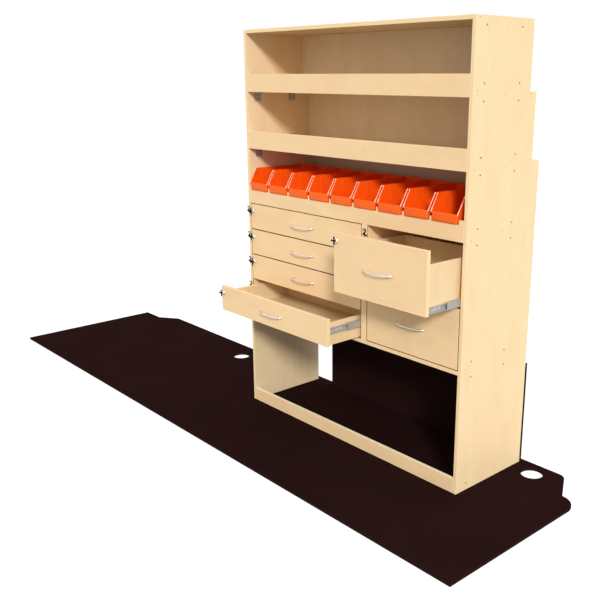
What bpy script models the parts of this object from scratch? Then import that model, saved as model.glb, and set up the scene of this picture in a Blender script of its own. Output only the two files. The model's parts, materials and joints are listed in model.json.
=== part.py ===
"""A ply van racking unit with shelves, picking bins and six drawers, on its van floor lining.

The unit stands on a black floor board cut to the load bay. Its two side panels step back towards
the top to follow the van wall. Between them, from the top down: two lipped shelves, a row of nine
picking bins set in a notched front rail, four wide and two deep drawers on telescopic slides, and
an open bay in front of the wheel arch.

X runs along the front, Y into the depth and Z up. The origin lies on the underside of the floor
board, below the middle of the rack's front face. Lengths are in metres.
"""
import math

import bmesh
import bpy
from mathutils import Matrix, Vector

# Rack: one pitch carries the whole height, and the depth falls in two steps
RACK_W = 1.000
SHELF_PITCH = 0.193
RACK_LEVELS = 7
BASE_LEVELS = 2         # underneath the drawers
BINS_LEVELS = 4         # underneath the bin shelf
MIDDLE_LEVELS = 5       # top of the middle shelf, where the lower step is
UPPER_LEVELS = 6        # top of the upper shelf, where the upper step is
DEPTH_LOW = 0.318
STEP_MIDDLE = 0.035     # how far the depth falls at the lower step
STEP_UPPER = 0.030
BOARD = 0.012           # birch ply of the whole carcass
BACK_BOARD = 0.006
LIP_H = 0.060           # retaining lips of the shelves
PLINTH_H = 0.046
FIT_GAP = 0.0003        # between pieces that touch
EDGE_EASE = 0.0006      # sanded edges of the boards

# Floor lining: its outline follows the load bay, past the rack at both ends
FLOOR_BOARD = 0.009
FLOOR_PAST_LEFT = 1.320
FLOOR_PAST_RIGHT = 0.271
FLOOR_FRONT = 0.347
FLOOR_PAST_ARCH = 0.0137   # behind the wheel-arch lining
PILLAR_CUT_L = 0.122    # step beside the front pillar
PILLAR_CUT_D = 0.060
PILLAR_SLOPE_L = 0.087
DOOR_NOSE_L = 0.055     # rounded nose beside the rear door
DOOR_NOSE_D = 0.110
DOOR_SLOPE_L = 0.063
DOOR_CORNER_R = 0.030
EYE_HOLE_D = 0.070      # for the lashing eyes
EYE_LEFT_END = 0.887    # middle of the left hole, from the floor's left end
EYE_LEFT_BACK = 0.091   # and from its back edge
EYE_RIGHT_END = 0.197
EYE_RIGHT_BACK = 0.060
EYE_SIDES = 32
CORNER_STEPS = 8

# Lining of the wheel arch, upright behind the rack
ARCH_BOARD = 0.009
ARCH_H = 0.335
ARCH_START = 0.095      # from the rack's left face

# Picking bins, and the rail and rest that carry them
BIN_W = 0.099
BIN_L = 0.165
BIN_H = 0.076
BIN_PITCH = 0.1066
BIN_START = 0.0055      # from the left side panel to the first bin
BIN_NOSE = 0.004        # how far a bin stands out past the rail
BIN_LIP_H = 0.027
BIN_SLOPE_L = 0.028
BIN_WALL = 0.0020
BIN_FLOOR = 0.0025
BIN_TAPER = 0.003       # each side wall leans in by this at the bottom
BIN_CORNER_R = 0.005
BIN_RIM_W = 0.0018      # rolled rim outside the wall
BIN_RIM_H = 0.0040
BIN_STEPS = 2
NOTCH_D = 0.013         # depth of the rail's notches
NOTCH_PLAY = 0.0010
REST_W = 0.012          # rest board under the back of the bins
REST_BACK = 0.020       # from the back of the bins to the rest

# Drawers: four wide ones on the left and two deep ones on the right of a double divider
DIVIDER_W = 0.024
DIVIDER_X = 0.577       # left face of the divider, from the left side panel
FRONT_BOARD = 0.012
SIDE_REVEAL = 0.0025    # beside a drawer's share of the stack
LEVEL_REVEAL = 0.0020   # between the shares of two drawers in a stack
FRONT_TRIM = 0.0005     # a drawer front is this much smaller than its share, all round
LEFT_COUNT = 4
RIGHT_COUNT = 2
TRAY_BOARD = 0.012
TRAY_BEHIND = 0.0147    # from a closed tray to the back panel
TRAY_BOTTOM = 0.006
TRAY_DROP_LEFT = 0.019  # from the top of the front down to the tray's rim
TRAY_DROP_RIGHT = 0.045
TRAY_LIFT = 0.001       # tray bottom above the front's bottom edge
OPEN_IN_VIEW = 0.140    # how far the two open drawers stand out

# Telescopic slides of three nested steel channels
SLIDE_GAP = 0.0130      # between a cabinet wall and a tray
SLIDE_BACK = 0.003      # from the drawer front to the slides
SLIDE_SHORT = 0.005     # a slide is this much shorter than its tray
STEEL = 0.0011
RACE_GAP = 0.0007       # running clearance between two channels
CABINET_CHANNEL_H = 0.0250
CHANNEL_TIP = 0.0105    # reach of the outer channel from the cabinet wall
SLIDE_DROP_LEFT = 0.022    # middle of a slide below the tray's rim, on the shallow drawers
SLIDE_UP_RIGHT = 0.0155    # middle of a slide above the front's bottom edge, on the deep ones
SINK = 0.0004           # how deep a fused channel is let into its board

# Bow handles
HANDLE_L = 0.106
HANDLE_REACH = 0.020
HANDLE_R = 0.0025
HANDLE_FOOT_SHARE = 1.70
HANDLE_BOW_SHARE = 0.80    # exponent of the bow: 1 is an ellipse, less is squarer
HANDLE_STEPS = 14
HANDLE_ROUND_STEPS = 2

# Thumb latches
LATCH_IN = 0.013        # from the left edge of the drawer's share
LATCH_DOWN = 0.025      # from the top edge of the drawer's share
LATCH_SHAFT_R = 0.0030
LATCH_BORE_R = 0.0036
LATCH_BOSS_R = 0.0086
LATCH_BOSS_L = 0.0050
LATCH_HUB_R = 0.0050
LATCH_HUB_L = 0.0130
LATCH_ARM_AT = 0.0090   # how far in front of the drawer the arms start
LATCH_ARM_T = 0.0040
LATCH_ARM_W = 0.0040
LATCH_LOBE_R = 0.0034
LATCH_ARM_L = 0.0095    # from the axis to the middle of a lobe
LATCH_SIDES = 20
LOBE_SIDES = 12
LATCH_ARM_TURNS = (90.0, 180.0, 270.0)

# Overrun of cutting tools past the faces they cut
OVERRUN = 0.010
SMOOTH_ANGLE = math.radians(35.0)

# Derived depths, heights and places
DEPTH_MIDDLE = DEPTH_LOW - STEP_MIDDLE
DEPTH_TOP = DEPTH_MIDDLE - STEP_UPPER
ARCH_FRONT = DEPTH_LOW + FIT_GAP
FLOOR_BACK = ARCH_FRONT + ARCH_BOARD + FLOOR_PAST_ARCH
FLOOR_TOP = FLOOR_BOARD
RACK_BOTTOM = FLOOR_TOP + FIT_GAP
RACK_TOP = RACK_BOTTOM + SHELF_PITCH * RACK_LEVELS
LEFT_OUT = -RACK_W / 2
RIGHT_OUT = RACK_W / 2
LEFT_IN = LEFT_OUT + BOARD
RIGHT_IN = RIGHT_OUT - BOARD
DIVIDER_LEFT = LEFT_IN + DIVIDER_X
DIVIDER_RIGHT = DIVIDER_LEFT + DIVIDER_W
BETWEEN_LEFT = LEFT_IN + FIT_GAP
BETWEEN_RIGHT = RIGHT_IN - FIT_GAP


def level(count):
    """Height of a level line of the rack above the ground."""
    return RACK_BOTTOM + SHELF_PITCH * count


UPPER_TOP = level(UPPER_LEVELS)
MIDDLE_TOP = level(MIDDLE_LEVELS)
BINS_BOTTOM = level(BINS_LEVELS)
BASE_TOP = level(BASE_LEVELS)
BIN_SHELF_TOP = BINS_BOTTOM + BOARD
RAIL_BOTTOM = BINS_BOTTOM - BOARD
RAIL_TOP = RAIL_BOTTOM + LIP_H
NOTCH_BOTTOM = RAIL_TOP - NOTCH_D
BIN_BOTTOM = NOTCH_BOTTOM + FIT_GAP
FRONTS_BOTTOM = BASE_TOP + LEVEL_REVEAL
FRONTS_TOP = RAIL_BOTTOM - LEVEL_REVEAL
BINS_LEFT = LEFT_IN + BIN_START
BIN_COUNT = 1 + int((RIGHT_IN - BINS_LEFT - BIN_W) / BIN_PITCH)
BACK_FRONT = DEPTH_LOW - BACK_BOARD
TRAY_L = BACK_FRONT - FRONT_BOARD - FIT_GAP - TRAY_BEHIND
SLIDE_L = TRAY_L - SLIDE_SHORT

# Derived channel sizes, counted from the cabinet wall towards the tray
NEST = STEEL + RACE_GAP
CABINET_HALF = CABINET_CHANNEL_H / 2
MIDDLE_WEB = NEST
MIDDLE_TIP = CHANNEL_TIP + RACE_GAP
MIDDLE_HALF = CABINET_HALF - NEST
TRAY_WEB = SLIDE_GAP
TRAY_TIP = MIDDLE_WEB + STEEL + RACE_GAP
TRAY_HALF = MIDDLE_HALF - NEST


def clear_scene():
    """Start from an empty scene."""
    for old in list(bpy.data.objects):
        bpy.data.objects.remove(old)


def finish_material(name, colour, roughness, metallic=0.0):
    """A plain Principled finish."""
    material = bpy.data.materials.new(name)
    material.use_nodes = True
    shader = material.node_tree.nodes["Principled BSDF"]
    shader.inputs["Base Color"].default_value = (*colour, 1.0)
    shader.inputs["Roughness"].default_value = roughness
    shader.inputs["Metallic"].default_value = metallic
    return material


def make_object(name, bm, material, parent=None, place=(0.0, 0.0, 0.0)):
    """Turn a bmesh into a named object and hang it on its parent."""
    bmesh.ops.recalc_face_normals(bm, faces=bm.faces)
    mesh = bpy.data.meshes.new(name)
    bm.to_mesh(mesh)
    bm.free()
    mesh.materials.append(material)
    return place_mesh(name, mesh, parent, place)


def place_mesh(name, mesh, parent=None, place=(0.0, 0.0, 0.0)):
    """A new object on a mesh that may be shared."""
    piece = bpy.data.objects.new(name, mesh)
    bpy.context.scene.collection.objects.link(piece)
    piece.location = place
    piece.parent = parent
    return piece


def joint_empty(name, place, parent=None):
    """An empty on a joint's axis, which carries the pieces that move with it."""
    empty = bpy.data.objects.new(name, None)
    empty.empty_display_size = HANDLE_L
    bpy.context.scene.collection.objects.link(empty)
    empty.location = place
    empty.parent = parent
    return empty


def bake(piece):
    """Apply the live modifiers, so that the mesh can be cut again or shared."""
    bpy.context.view_layer.update()
    graph = bpy.context.evaluated_depsgraph_get()
    mesh = bpy.data.meshes.new_from_object(piece.evaluated_get(graph))
    mesh.name = piece.name
    piece.modifiers.clear()
    piece.data = mesh
    return piece


def combine(piece, tool, operation):
    """Cut, or join, a piece with a tool, which is used up."""
    step = piece.modifiers.new(operation.lower(), "BOOLEAN")
    step.operation = operation
    step.solver = "EXACT"
    step.object = tool
    bake(piece)
    bpy.data.objects.remove(tool)
    return piece


def ease_edges(piece, width=EDGE_EASE):
    """Sand the sharp edges of a board."""
    step = piece.modifiers.new("ease", "BEVEL")
    step.width = width
    step.segments = 1
    step.limit_method = "ANGLE"
    return bake(piece)


def shade_round(piece):
    """Smooth shading, with the real edges kept sharp."""
    piece.data.shade_smooth()
    piece.data.set_sharp_from_angle(angle=SMOOTH_ANGLE)
    return piece


def add_box(bm, low, high):
    """A box between two corners, in an open bmesh."""
    low = Vector(low)
    high = Vector(high)
    cube = bmesh.ops.create_cube(bm, size=1.0)
    bmesh.ops.scale(bm, vec=high - low, verts=cube["verts"])
    bmesh.ops.translate(bm, vec=(low + high) / 2, verts=cube["verts"])
    return cube["verts"]


def board(name, low, high, material, parent=None, place=(0.0, 0.0, 0.0)):
    """A board with eased edges."""
    bm = bmesh.new()
    add_box(bm, low, high)
    return ease_edges(make_object(name, bm, material, parent, place))


def extruded(name, outline, along, material):
    """A closed outline of 3-D points, carried along a vector."""
    bm = bmesh.new()
    face = bm.faces.new([bm.verts.new(point) for point in outline])
    lifted = bmesh.ops.extrude_face_region(bm, geom=[face])
    moved = [item for item in lifted["geom"] if isinstance(item, bmesh.types.BMVert)]
    bmesh.ops.translate(bm, vec=along, verts=moved)
    return make_object(name, bm, material)


def cylinder(name, radius, length, sides, centre, material, axis="Z"):
    """A cylinder about its centre, along Z or Y."""
    bm = bmesh.new()
    made = bmesh.ops.create_cone(bm, cap_ends=True, segments=sides, radius1=radius,
                                 radius2=radius, depth=length)
    if axis == "Y":
        bmesh.ops.rotate(bm, cent=(0, 0, 0), matrix=Matrix.Rotation(math.pi / 2, 3, "X"),
                         verts=made["verts"])
    bmesh.ops.translate(bm, vec=centre, verts=made["verts"])
    return make_object(name, bm, material)


def rounded_corner(before, corner, after, radius):
    """Points of an arc that rounds one corner of a flat outline."""
    corner = Vector(corner)
    back = (Vector(before) - corner).normalized()
    ahead = (Vector(after) - corner).normalized()
    half = back.angle(ahead) / 2
    reach = radius / math.tan(half)
    centre = corner + (back + ahead).normalized() * radius / math.sin(half)
    start = corner + back * reach - centre
    turn = math.pi - 2 * half
    if back.cross(ahead) > 0:
        turn = -turn
    points = []
    for step in range(CORNER_STEPS + 1):
        points.append(centre + Matrix.Rotation(turn * step / CORNER_STEPS, 2) @ start)
    return points


def build_floor(material):
    """The floor lining with its eye holes, and the wheel-arch lining that stands on it."""
    left = LEFT_OUT - FLOOR_PAST_LEFT
    right = RIGHT_OUT + FLOOR_PAST_RIGHT
    nose_back = FLOOR_BACK - DOOR_NOSE_D
    nose_start = (right, nose_back)
    slope_foot = (right - DOOR_NOSE_L, nose_back)
    slope_top = (slope_foot[0] - DOOR_SLOPE_L, FLOOR_BACK)
    pillar_x = left + PILLAR_CUT_L
    outline = [(left, -FLOOR_FRONT), (right, -FLOOR_FRONT)]
    outline += rounded_corner((right, -FLOOR_FRONT), nose_start, slope_foot, DOOR_NOSE_L)
    outline += rounded_corner(slope_foot, slope_top, (left, FLOOR_BACK), DOOR_CORNER_R)
    outline += [(pillar_x + PILLAR_SLOPE_L, FLOOR_BACK), (pillar_x, FLOOR_BACK - PILLAR_CUT_D)]
    outline += [(left, FLOOR_BACK - PILLAR_CUT_D)]
    points = [(point[0], point[1], 0.0) for point in outline]
    floor = ease_edges(extruded("floor_board", points, (0, 0, FLOOR_BOARD), material))
    for x, back in ((left + EYE_LEFT_END, EYE_LEFT_BACK), (right - EYE_RIGHT_END, EYE_RIGHT_BACK)):
        hole = cylinder("hole", EYE_HOLE_D / 2, FLOOR_BOARD + OVERRUN, EYE_SIDES,
                        (x, FLOOR_BACK - back, FLOOR_BOARD / 2), material)
        combine(floor, hole, "DIFFERENCE")
    bm = bmesh.new()
    add_box(bm, (LEFT_OUT + ARCH_START, ARCH_FRONT, FLOOR_TOP - SINK),
            (RIGHT_OUT, ARCH_FRONT + ARCH_BOARD, FLOOR_TOP + ARCH_H))
    return combine(floor, make_object("arch", bm, material), "UNION")


def channel_points(wall, side, web, tip, half, y, height):
    """Cross-section of a slide channel; side is 1 or -1, pointing from the wall to the tray."""
    inner = web + math.copysign(STEEL, tip - web)
    corners = ((web, -half), (tip, -half), (tip, STEEL - half), (inner, STEEL - half),
               (inner, half - STEEL), (tip, half - STEEL), (tip, half), (web, half))
    return [(wall + side * out, y, height + up) for out, up in corners]


def add_cabinet_channel(piece, wall, side, height, material):
    """Let a slide's outer channel into the board that carries it."""
    points = channel_points(wall, side, -SINK, CHANNEL_TIP, CABINET_HALF,
                            FRONT_BOARD + SLIDE_BACK, height)
    tool = extruded("channel", points, (0, SLIDE_L, 0), material)
    return combine(piece, tool, "UNION")


def build_side(name, out, side, slide_heights, material):
    """A stepped side panel with the outer channels of its slides; side points into the rack."""
    outline = [(0, RACK_BOTTOM), (DEPTH_LOW, RACK_BOTTOM), (DEPTH_LOW, MIDDLE_TOP),
               (DEPTH_MIDDLE, MIDDLE_TOP), (DEPTH_MIDDLE, UPPER_TOP), (DEPTH_TOP, UPPER_TOP),
               (DEPTH_TOP, RACK_TOP), (0, RACK_TOP)]
    points = [(out, y, z) for y, z in outline]
    panel = ease_edges(extruded(name, points, (side * BOARD, 0, 0), material))
    for height in slide_heights:
        add_cabinet_channel(panel, out + side * BOARD, side, height, material)
    return panel


def build_shelf(name, top, depth, material):
    """A shelf board behind its lip."""
    return board(name, (BETWEEN_LEFT, BOARD + FIT_GAP, top - BOARD),
                 (BETWEEN_RIGHT, depth, top), material)


def build_lip(name, bottom, height, material):
    """An upright front board between the side panels."""
    return board(name, (BETWEEN_LEFT, 0, bottom), (BETWEEN_RIGHT, BOARD, bottom + height), material)


def build_back(name, bottom, top, depth, material):
    """A thin back panel between two boards."""
    return board(name, (BETWEEN_LEFT, depth - BACK_BOARD, bottom + FIT_GAP),
                 (BETWEEN_RIGHT, depth, top - FIT_GAP), material)


def build_bin_shelf(material):
    """The bin shelf with its notched front rail and the rest board under the back of the bins."""
    shelf = board("bin_shelf", (BETWEEN_LEFT, 0, BINS_BOTTOM),
                  (BETWEEN_RIGHT, BACK_FRONT - FIT_GAP, BIN_SHELF_TOP), material)
    bm = bmesh.new()
    add_box(bm, (BETWEEN_LEFT, 0, RAIL_BOTTOM), (BETWEEN_RIGHT, BOARD, RAIL_TOP))
    combine(shelf, make_object("rail", bm, material), "UNION")
    rest_back = BIN_L - BIN_NOSE - REST_BACK
    bm = bmesh.new()
    add_box(bm, (BETWEEN_LEFT, rest_back - REST_W, BIN_SHELF_TOP - SINK),
            (BETWEEN_RIGHT, rest_back, NOTCH_BOTTOM))
    combine(shelf, make_object("rest", bm, material), "UNION")
    bm = bmesh.new()
    for index in range(BIN_COUNT):
        left = BINS_LEFT + BIN_PITCH * index - NOTCH_PLAY
        right = left + BIN_W + NOTCH_PLAY * 2
        add_box(bm, (left, -OVERRUN, NOTCH_BOTTOM), (right, BOARD + OVERRUN, RAIL_TOP + OVERRUN))
    return combine(shelf, make_object("notches", bm, material), "DIFFERENCE")


def bin_profile(inset, floor):
    """Side outline of a bin as (depth, height), drawn in by a wall and raised by a floor."""
    lean = BIN_SLOPE_L / (BIN_H - BIN_LIP_H)
    return [(inset, floor), (BIN_L - inset, floor), (BIN_L - inset, BIN_H),
            (BIN_SLOPE_L + inset * lean, BIN_H), (inset, BIN_LIP_H)]


def bin_solid(name, profile, half, material, rise=0.0):
    """A bin-shaped block with tapered sides and round corners."""
    points = [(-half, depth, height + (rise if height >= BIN_LIP_H else 0.0))
              for depth, height in profile]
    block = extruded(name, points, (half * 2, 0, 0), material)
    mesh = bmesh.new()
    mesh.from_mesh(block.data)
    low = [vert for vert in mesh.verts if vert.co.z < BIN_LIP_H / 2]
    for vert in low:
        vert.co.x -= math.copysign(BIN_TAPER, vert.co.x)
    round_edges = [edge for edge in mesh.edges if all(vert in low for vert in edge.verts)]
    round_edges += [edge for edge in mesh.edges
                    if any(vert in low for vert in edge.verts) and edge not in round_edges]
    bmesh.ops.bevel(mesh, geom=round_edges, offset=BIN_CORNER_R, offset_type="OFFSET",
                    segments=BIN_STEPS, profile=0.5, affect="EDGES", clamp_overlap=True)
    mesh.to_mesh(block.data)
    mesh.free()
    return block


def bin_mesh(material):
    """One picking bin: a tapered shell, open at the top and front, with a rolled rim."""
    half = BIN_W / 2 - BIN_RIM_W
    shell = bin_solid("bin", bin_profile(0.0, 0.0), half, material)
    rim_drop = BIN_RIM_H
    for side in (-1, 1):
        top = bin_profile(0.0, 0.0)[2:]
        low = [(depth, height - rim_drop) for depth, height in reversed(top)]
        points = [(side * (half - BIN_WALL / 2), depth, height) for depth, height in top + low]
        rim = extruded("rim", points, (side * (BIN_RIM_W + BIN_WALL / 2), 0, 0), material)
        combine(shell, rim, "UNION")
    hollow = bin_solid("hollow", bin_profile(BIN_WALL, BIN_FLOOR), half - BIN_WALL, material,
                       rise=OVERRUN)
    combine(shell, hollow, "DIFFERENCE")
    shade_round(shell)
    mesh = shell.data
    bpy.data.objects.remove(shell)
    return mesh


def build_bins(material):
    """The row of bins, side by side in the notches of the rail."""
    mesh = bin_mesh(material)
    for index in range(BIN_COUNT):
        x = BINS_LEFT + BIN_W / 2 + BIN_PITCH * index
        place_mesh(f"bin_{index + 1}", mesh, place=(x, -BIN_NOSE, BIN_BOTTOM))


def tray_mesh(width, height, slide_up, material):
    """An open drawer box with the inner channels of its slides, about the front's foot."""
    half = width / 2
    start = FRONT_BOARD + FIT_GAP
    tray = board("tray", (-half, start, TRAY_LIFT), (half, start + TRAY_L, height), material)
    bm = bmesh.new()
    add_box(bm, (TRAY_BOARD - half, start - OVERRUN, TRAY_LIFT + TRAY_BOTTOM),
            (half - TRAY_BOARD, start + TRAY_L - TRAY_BOARD, height + OVERRUN))
    combine(tray, make_object("hollow", bm, material), "DIFFERENCE")
    for side in (-1, 1):
        wall = side * (half + SLIDE_GAP)
        points = channel_points(wall, -side, TRAY_WEB + SINK, TRAY_TIP, TRAY_HALF,
                                FRONT_BOARD + SLIDE_BACK, slide_up)
        tool = extruded("channel", points, (0, SLIDE_L, 0), material)
        combine(tray, tool, "UNION")
    mesh = tray.data
    bpy.data.objects.remove(tray)
    return mesh


def front_mesh(width, height, material):
    """A drawer front with the bore of its latch, about the foot of the drawer's share."""
    front = board("front", (FRONT_TRIM - width / 2, 0, FRONT_TRIM),
                  (width / 2 - FRONT_TRIM, FRONT_BOARD, height - FRONT_TRIM), material)
    bore = cylinder("bore", LATCH_BORE_R, FRONT_BOARD + OVERRUN, LATCH_SIDES,
                    (LATCH_IN - width / 2, FRONT_BOARD / 2, height - LATCH_DOWN), material, "Y")
    combine(front, bore, "DIFFERENCE")
    mesh = front.data
    bpy.data.objects.remove(front)
    return mesh


def handle_curve(material):
    """A bow handle, a round bar bent forward between its two feet."""
    curve = bpy.data.curves.new("handle", "CURVE")
    curve.dimensions = "3D"
    curve.bevel_depth = HANDLE_R
    curve.bevel_resolution = HANDLE_ROUND_STEPS
    curve.use_fill_caps = True
    bow = curve.splines.new("POLY")
    bow.points.add(HANDLE_STEPS)
    for index, point in enumerate(bow.points):
        angle = math.pi * index / HANDLE_STEPS
        across = math.copysign(abs(math.cos(angle)) ** HANDLE_BOW_SHARE, math.cos(angle))
        ahead = math.sin(angle) ** HANDLE_BOW_SHARE
        point.co = (-across * HANDLE_L / 2, -FIT_GAP - ahead * HANDLE_REACH, 0.0, 1.0)
        point.radius = 1 + (HANDLE_FOOT_SHARE - 1) * (1 - ahead) ** 2
    for end, inner in ((0, 1), (HANDLE_STEPS, HANDLE_STEPS - 1)):
        bow.points[inner].co.x = bow.points[end].co.x
    curve.materials.append(material)
    return curve


def latch_mesh(material):
    """A thumb latch: shaft, round boss, hub and three lobed arms, turned about Y."""
    inside = FRONT_BOARD - FIT_GAP
    spans = ((LATCH_SHAFT_R, inside, -LATCH_BOSS_L), (LATCH_BOSS_R, -FIT_GAP, -LATCH_BOSS_L),
             (LATCH_HUB_R, -LATCH_BOSS_L / 2, -LATCH_HUB_L))
    latch = None
    for radius, back, front in spans:
        turned = cylinder("latch", radius, back - front, LATCH_SIDES,
                          (0, (back + front) / 2, 0), material, "Y")
        latch = turned if latch is None else combine(latch, turned, "UNION")
    arm_front = -LATCH_ARM_AT - LATCH_ARM_T
    arm_middle = -LATCH_ARM_AT - LATCH_ARM_T / 2
    for turn in LATCH_ARM_TURNS:
        spin = Matrix.Rotation(math.radians(turn), 4, "Y")
        bm = bmesh.new()
        add_box(bm, (0, arm_front, -LATCH_ARM_W / 2), (LATCH_ARM_L, -LATCH_ARM_AT, LATCH_ARM_W / 2))
        bar = make_object("bar", bm, material)
        lobe = cylinder("lobe", LATCH_LOBE_R, LATCH_ARM_T + SINK, LOBE_SIDES,
                        (LATCH_ARM_L, arm_middle, 0), material, "Y")
        combine(bar, lobe, "UNION")
        bar.data.transform(spin)
        combine(latch, bar, "UNION")
    shade_round(latch)
    mesh = latch.data
    bpy.data.objects.remove(latch)
    return mesh


def middle_channel_mesh(side, material):
    """The travelling channel of one slide, about the cabinet wall; side points to the tray."""
    points = channel_points(0.0, side, MIDDLE_WEB, MIDDLE_TIP, MIDDLE_HALF, 0.0, 0.0)
    piece = extruded("channel", points, (0, SLIDE_L, 0), material)
    mesh = piece.data
    bpy.data.objects.remove(piece)
    return mesh


def drawer_height(count):
    """Height of each of a stack of drawer fronts."""
    return (FRONTS_TOP - FRONTS_BOTTOM - LEVEL_REVEAL * (count - 1)) / count


def drawer_foot(count, row):
    """Foot of a drawer front, with row 1 at the top."""
    return FRONTS_TOP - drawer_height(count) * row - LEVEL_REVEAL * (row - 1)


def left_slide_up():
    """Middle of a slide above the front's bottom edge, on the shallow drawers."""
    return drawer_height(LEFT_COUNT) - TRAY_DROP_LEFT - SLIDE_DROP_LEFT


def slide_heights(count, slide_up):
    """Heights of all the slides of a stack."""
    return [drawer_foot(count, row) + slide_up for row in range(1, count + 1)]


def build_stack(label, wall_left, wall_right, count, slide_up, drop, open_rows, finishes):
    """A stack of drawers between two cabinet walls."""
    ply, steel, chrome, black = finishes
    width = wall_right - wall_left - SIDE_REVEAL * 2
    height = drawer_height(count)
    tray = tray_mesh(wall_right - wall_left - SLIDE_GAP * 2, height - drop, slide_up, ply)
    front = front_mesh(width, height, ply)
    handle = handle_curve(chrome)
    latch = latch_mesh(black)
    channels = {1: middle_channel_mesh(1, steel), -1: middle_channel_mesh(-1, steel)}
    for row in range(1, count + 1):
        out = OPEN_IN_VIEW if row in open_rows else 0.0
        middle = (wall_left + wall_right) / 2
        foot = drawer_foot(count, row)
        carrier = joint_empty(f"drawer_{label}_{row}_slide", (middle, -out, foot))
        place_mesh(f"drawer_front_{label}_{row}", front, carrier)
        place_mesh(f"drawer_tray_{label}_{row}", tray, carrier)
        place_mesh(f"drawer_handle_{label}_{row}", handle, carrier, (0, 0, height / 2))
        place_mesh(f"drawer_latch_{label}_{row}", latch, carrier,
                   (LATCH_IN - width / 2, 0, height - LATCH_DOWN))
        runner = joint_empty(f"slide_{label}_{row}_travel", (middle, -out / 2, foot))
        for end, wall, side in (("a", wall_left, 1), ("b", wall_right, -1)):
            place_mesh(f"slide_channel_{label}_{row}_{end}", channels[side], runner,
                       (wall - middle, FRONT_BOARD + SLIDE_BACK, slide_up))


def build_divider(left_heights, right_heights, material):
    """The double board between the stacks, with the outer channels of both."""
    divider = board("divider", (DIVIDER_LEFT, 0, BASE_TOP + FIT_GAP),
                    (DIVIDER_RIGHT, BACK_FRONT - FIT_GAP, RAIL_BOTTOM - FIT_GAP), material)
    bm = bmesh.new()
    add_box(bm, (DIVIDER_LEFT, BOARD + FIT_GAP, RAIL_BOTTOM - OVERRUN),
            (DIVIDER_RIGHT, BACK_FRONT - FIT_GAP, BINS_BOTTOM - FIT_GAP))
    combine(divider, make_object("tenon", bm, material), "UNION")
    for height in left_heights:
        add_cabinet_channel(divider, DIVIDER_LEFT, -1, height, material)
    for height in right_heights:
        add_cabinet_channel(divider, DIVIDER_RIGHT, 1, height, material)
    return divider


def build_carcass(ply):
    """All the fixed boards of the rack."""
    left_heights = slide_heights(LEFT_COUNT, left_slide_up())
    right_heights = slide_heights(RIGHT_COUNT, SLIDE_UP_RIGHT)
    build_side("side_panel_left", LEFT_OUT, 1, left_heights, ply)
    build_side("side_panel_right", RIGHT_OUT, -1, right_heights, ply)
    board("top_panel", (BETWEEN_LEFT, 0, RACK_TOP - BOARD), (BETWEEN_RIGHT, DEPTH_TOP, RACK_TOP), ply)
    build_shelf("shelf_upper", UPPER_TOP, DEPTH_MIDDLE, ply)
    build_shelf("shelf_middle", MIDDLE_TOP, DEPTH_LOW, ply)
    build_lip("lip_upper", UPPER_TOP - BOARD, LIP_H, ply)
    build_lip("lip_middle", MIDDLE_TOP - BOARD, LIP_H, ply)
    build_bin_shelf(ply)
    build_divider(left_heights, right_heights, ply)
    board("drawer_base", (BETWEEN_LEFT, 0, BASE_TOP - BOARD), (BETWEEN_RIGHT, DEPTH_LOW, BASE_TOP), ply)
    build_lip("plinth", RACK_BOTTOM, PLINTH_H, ply)
    build_back("back_panel_upper", UPPER_TOP, RACK_TOP - BOARD, DEPTH_TOP, ply)
    build_back("back_panel_middle", MIDDLE_TOP, UPPER_TOP - BOARD, DEPTH_MIDDLE, ply)
    build_back("back_panel_lower", BASE_TOP, MIDDLE_TOP - BOARD, DEPTH_LOW, ply)


def main():
    """Build the whole unit."""
    clear_scene()
    ply = finish_material("birch_ply", (0.80, 0.58, 0.35), 0.55)
    black_ply = finish_material("black_ply", (0.022, 0.014, 0.014), 0.45)
    orange = finish_material("orange_plastic", (0.95, 0.12, 0.01), 0.35)
    steel = finish_material("zinc_steel", (0.55, 0.55, 0.60), 0.35, 1.0)
    chrome = finish_material("chrome", (0.80, 0.80, 0.82), 0.12, 1.0)
    black = finish_material("black_plastic", (0.02, 0.02, 0.02), 0.40)
    finishes = (ply, steel, chrome, black)
    build_floor(black_ply)
    build_carcass(ply)
    build_bins(orange)
    build_stack("left", LEFT_IN, DIVIDER_LEFT, LEFT_COUNT, left_slide_up(), TRAY_DROP_LEFT,
                (LEFT_COUNT,), finishes)
    build_stack("right", DIVIDER_RIGHT, RIGHT_IN, RIGHT_COUNT, SLIDE_UP_RIGHT, TRAY_DROP_RIGHT,
                (1,), finishes)


main()
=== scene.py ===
"""Looks of a ply van racking unit: boards, bins, drawers and slides on a black floor lining.

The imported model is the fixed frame. Its boards keep their own shape and get veneer, film or steel
finishes, and the small pieces are modelled here, each in place on the board that carries it.
Lengths are in metres.
"""
import json
import math

import bmesh
import bpy
from mathutils import Matrix, Vector

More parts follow.
